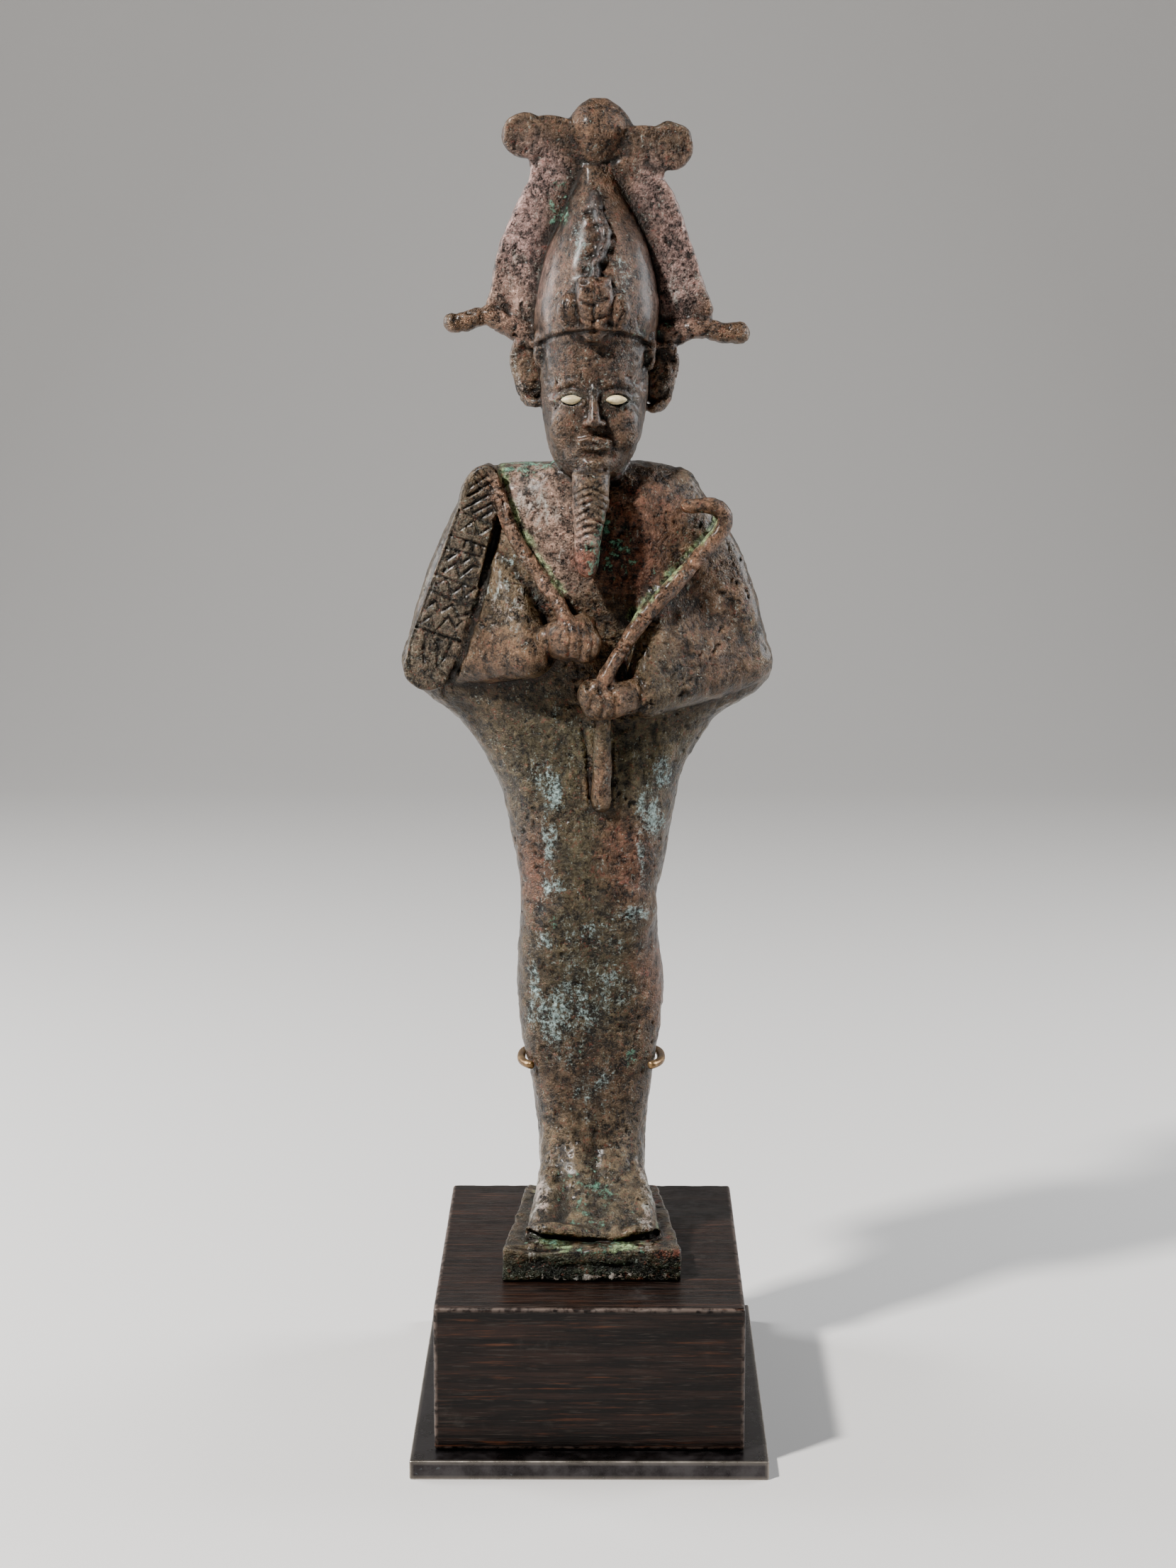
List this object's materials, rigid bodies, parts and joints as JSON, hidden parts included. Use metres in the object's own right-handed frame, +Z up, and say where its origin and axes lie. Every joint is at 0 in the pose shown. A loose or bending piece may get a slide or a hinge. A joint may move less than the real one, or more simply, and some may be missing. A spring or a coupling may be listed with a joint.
{
  "type": "cast bronze osiris statue on a display block",
  "caption": "Small cast bronze figure of a wrapped, crowned god with crook and flail, on its own plinth, held by a wire cradle on a dark wooden block.",
  "frame": {"origin": "centre of the flat underside of the base plate", "axes": "+Z up the figure, +X to the viewer's right, the figure faces -Y"},
  "size_m": [0.0813, 0.1, 0.288],
  "materials": {
    "bronze": "ancient cast bronze, brown with red and pale green patina, pitted and matt",
    "inlay": "pale cream stone, dull polish",
    "cradle": "brown brass wire, rubbed",
    "block": "near-black open-grained wood with reddish streaks, satin",
    "plate": "dark polished metal with a bright worn arris"
  },
  "bodies": {
    "root": {"osiris_figure": "bronze", "eye_inlay_left": "inlay", "eye_inlay_right": "inlay", "mount_cradle": "cradle", "wooden_block": "block", "base_plate": "plate"}
  },
  "joints": []
}
